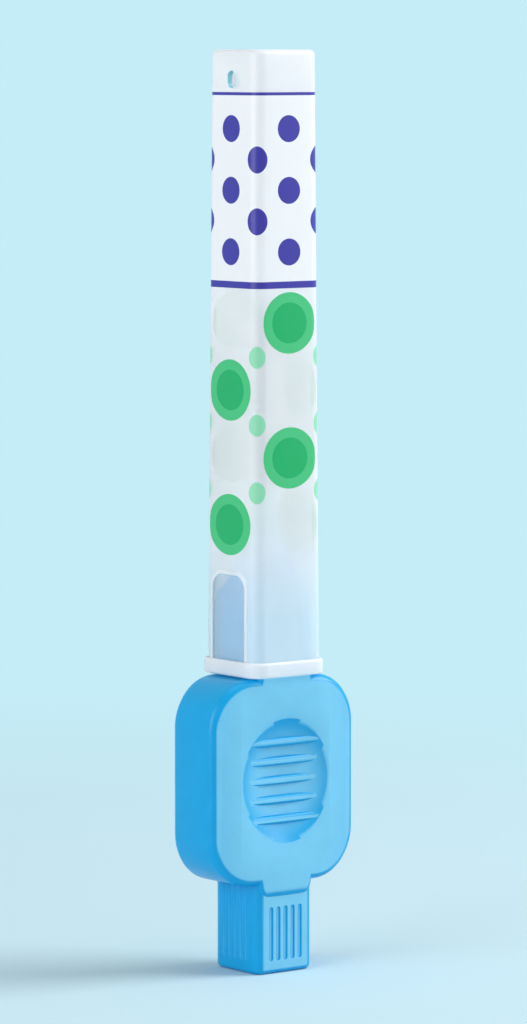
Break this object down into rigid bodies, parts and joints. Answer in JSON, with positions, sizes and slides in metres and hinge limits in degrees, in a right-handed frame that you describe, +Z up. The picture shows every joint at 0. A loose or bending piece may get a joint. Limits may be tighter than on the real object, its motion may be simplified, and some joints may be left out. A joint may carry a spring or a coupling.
{
  "type": "interdental brush",
  "caption": "Interdental brush with a dished finger handle, a twisted-wire brush head and a clear slip-on travel cap.",
  "frame": {"origin": "middle of the foot's flat end face", "axes": "+Z up the wire towards the brush head, +X across the finger plate, and the dished faces of the plate look along -Y and +Y"},
  "size_m": [0.0116, 0.0062, 0.0591],
  "materials": {
    "handle_plastic": "satin moulded polypropylene, faintly translucent at the thin neck",
    "core_wire": "thin plastic-coated stainless steel wire",
    "filament_nylon": "white nylon filaments",
    "cap_plastic": "clear moulded polypropylene with a milky print round the upper part"
  },
  "bodies": {
    "brush": {"handle": "handle_plastic", "twisted_wire": "core_wire", "bristles": "filament_nylon"},
    "cap": {"cap": "cap_plastic"}
  },
  "joints": [
    {"name": "cap_slide", "type": "slide", "parent": "brush", "child": "cap", "axis": [0, 0, 1], "range_m": [0, 0.03]}
  ]
}
